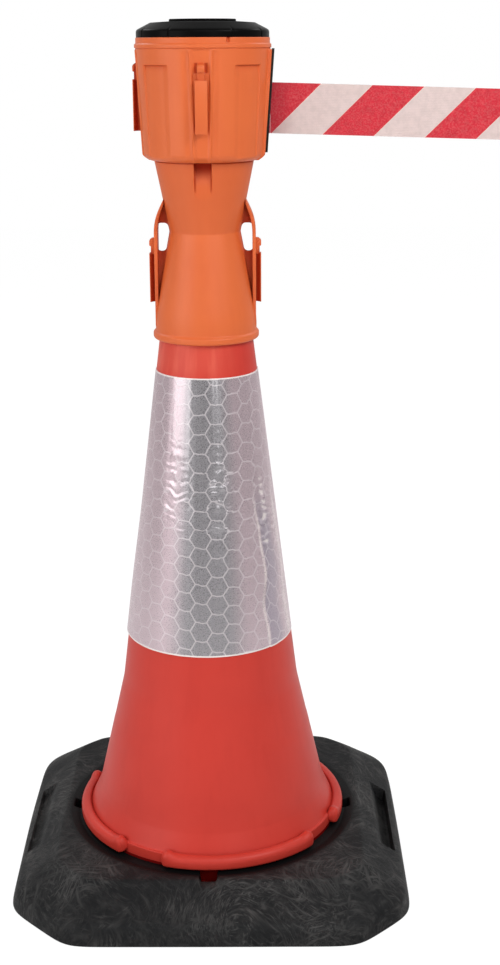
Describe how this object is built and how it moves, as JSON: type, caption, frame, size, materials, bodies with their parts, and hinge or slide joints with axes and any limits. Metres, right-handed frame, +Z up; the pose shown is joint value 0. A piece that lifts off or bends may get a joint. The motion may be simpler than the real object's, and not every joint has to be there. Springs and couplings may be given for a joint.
{
  "type": "cone topper belt barrier",
  "caption": "Retractable belt head on a flared collar that slips over a traffic cone with a reflective sleeve and a square rubber base.",
  "frame": {"origin": "centre of the rubber base's underside, on the floor", "axes": "+Z up along the cone's axis, +X the way the belt leaves the head, -Y towards the viewer"},
  "size_m": [0.6055, 0.438, 0.9162],
  "materials": {
    "base_rubber": "recycled crumb rubber, matt, scuffed",
    "cone_red": "moulded polymer, satin, red",
    "film_silver": "silvery prismatic reflective film with hexagon cells",
    "topper_orange": "moulded polymer, satin, orange",
    "lid_black": "moulded polymer, glossy black",
    "trim_black": "moulded polymer, black",
    "cassette_grey": "moulded polymer, grey",
    "bush_white": "acetal, natural white",
    "steel": "zinc-plated steel",
    "belt_webbing": "woven polyester webbing with diagonal red and off-white stripes"
  },
  "bodies": {
    "base": {"base_block": "base_rubber"},
    "cone": {"cone_shell": "cone_red", "reflective_sleeve": "film_silver"},
    "topper": {"cone_collar": "topper_orange", "head_shell": "topper_orange", "head_screws": "steel", "exit_plate": "trim_black", "exit_plate_screws": "steel", "cassette_case": "cassette_grey", "cassette_cover": "cassette_grey", "cassette_screws": "steel", "guide_pins": "steel", "arbor": "steel", "belt_lead": "belt_webbing", "belt_strap": "belt_webbing"},
    "lid": {"lid_cap": "lid_black", "lid_disc": "lid_black"},
    "spool": {"spool_drum": "cassette_grey", "lower_bush": "bush_white", "upper_bush": "bush_white", "thrust_washer": "steel", "spring_barrel": "cassette_grey", "spring_cover": "cassette_grey", "power_spring": "steel", "belt_winding": "belt_webbing"},
    "belt_end": {"belt_end_clip": "trim_black", "belt_end_pin": "steel"}
  },
  "joints": [
    {"name": "cone_twist", "type": "hinge", "parent": "base", "child": "cone", "pos_m": [0, 0, 0.044], "axis": [0, 0, 1], "range_deg": [0, 30]},
    {"name": "topper_lift", "type": "slide", "parent": "cone", "child": "topper", "axis": [0, 0, 1], "range_m": [0, 0.165]},
    {"name": "lid_lift", "type": "slide", "parent": "topper", "child": "lid", "axis": [0, 0, 1], "range_m": [0, 0.05]},
    {"name": "belt_pull", "type": "slide", "parent": "topper", "child": "belt_end", "axis": [0.9995, 0, -0.0314], "range_m": [-0.298, 0], "deforming": ["belt_strap"]},
    {"name": "spool_spin", "type": "hinge", "parent": "topper", "child": "spool", "pos_m": [0, 0, 0.8302], "axis": [0, 0, 1], "range_deg": [-475, 0], "deforming": ["power_spring"]}
  ],
  "couplings": [
    {"joint": "spool_spin", "follows": "belt_pull", "rad_per_m": 26.954}
  ]
}
